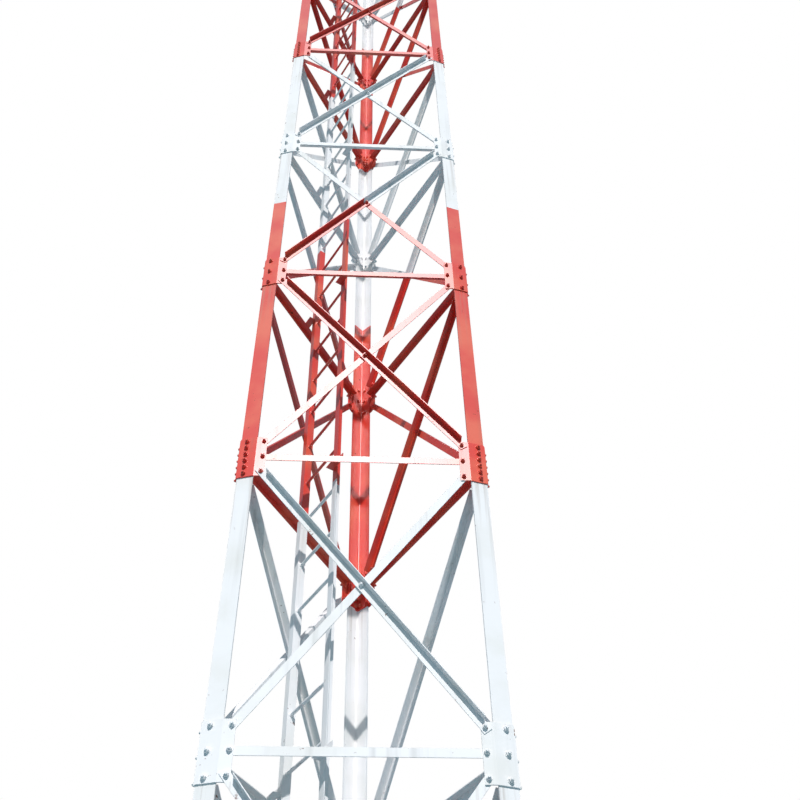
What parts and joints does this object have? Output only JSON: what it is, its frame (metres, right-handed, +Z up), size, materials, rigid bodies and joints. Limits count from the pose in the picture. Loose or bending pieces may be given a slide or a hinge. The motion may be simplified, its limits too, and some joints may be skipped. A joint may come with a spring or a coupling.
{
  "type": "lattice radio mast",
  "caption": "Slender three-legged steel lattice mast in red and white bands, with angle legs, bent gusset plates, crossed bracing and a climbing ladder inside one corner.",
  "frame": {"origin": "middle of the underside of the rear leg's foot plate", "axes": "+Z up along the mast; -Y is the front face between the left and right legs"},
  "size_m": [1.815, 1.6443, 18.4675],
  "materials": {
    "leg_paint": "weathered semi-gloss bands of red and white",
    "plate_paint": "weathered semi-gloss bands of red and white",
    "brace_paint": "weathered semi-gloss bands of red and white",
    "ladder_paint": "weathered semi-gloss bands of red and white",
    "foot_paint": "weathered semi-gloss red",
    "bolt_zinc": "dull zinc, painted over"
  },
  "bodies": {
    "root": {"foot_left": "foot_paint", "foot_right": "foot_paint", "foot_rear": "foot_paint", "leg_left_lower": "leg_paint", "leg_left_middle": "leg_paint", "leg_left_upper": "leg_paint", "leg_right_lower": "leg_paint", "leg_right_middle": "leg_paint", "leg_right_upper": "leg_paint", "leg_rear_lower": "leg_paint", "leg_rear_middle": "leg_paint", "leg_rear_upper": "leg_paint", "gussets_lower": "plate_paint", "gussets_middle": "plate_paint", "gussets_upper": "plate_paint", "splice_gussets": "plate_paint", "splice_angles": "plate_paint", "struts_front_lower": "brace_paint", "struts_front_middle": "brace_paint", "struts_front_upper": "brace_paint", "struts_right_lower": "brace_paint", "struts_right_middle": "brace_paint", "struts_right_upper": "brace_paint", "struts_left_lower": "brace_paint", "struts_left_middle": "brace_paint", "struts_left_upper": "brace_paint", "diagonals_front_lower": "brace_paint", "diagonals_front_middle": "brace_paint", "diagonals_front_upper": "brace_paint", "diagonals_right_lower": "brace_paint", "diagonals_right_middle": "brace_paint", "diagonals_right_upper": "brace_paint", "diagonals_left_lower": "brace_paint", "diagonals_left_middle": "brace_paint", "diagonals_left_upper": "brace_paint", "ladder_rails_lower": "ladder_paint", "ladder_rails_middle": "ladder_paint", "ladder_rails_upper": "ladder_paint", "ladder_rungs_lower": "ladder_paint", "ladder_rungs_middle": "ladder_paint", "ladder_rungs_upper": "ladder_paint", "ladder_brackets_lower": "ladder_paint", "ladder_brackets_middle": "ladder_paint", "ladder_brackets_upper": "ladder_paint"}
  },
  "joints": []
}
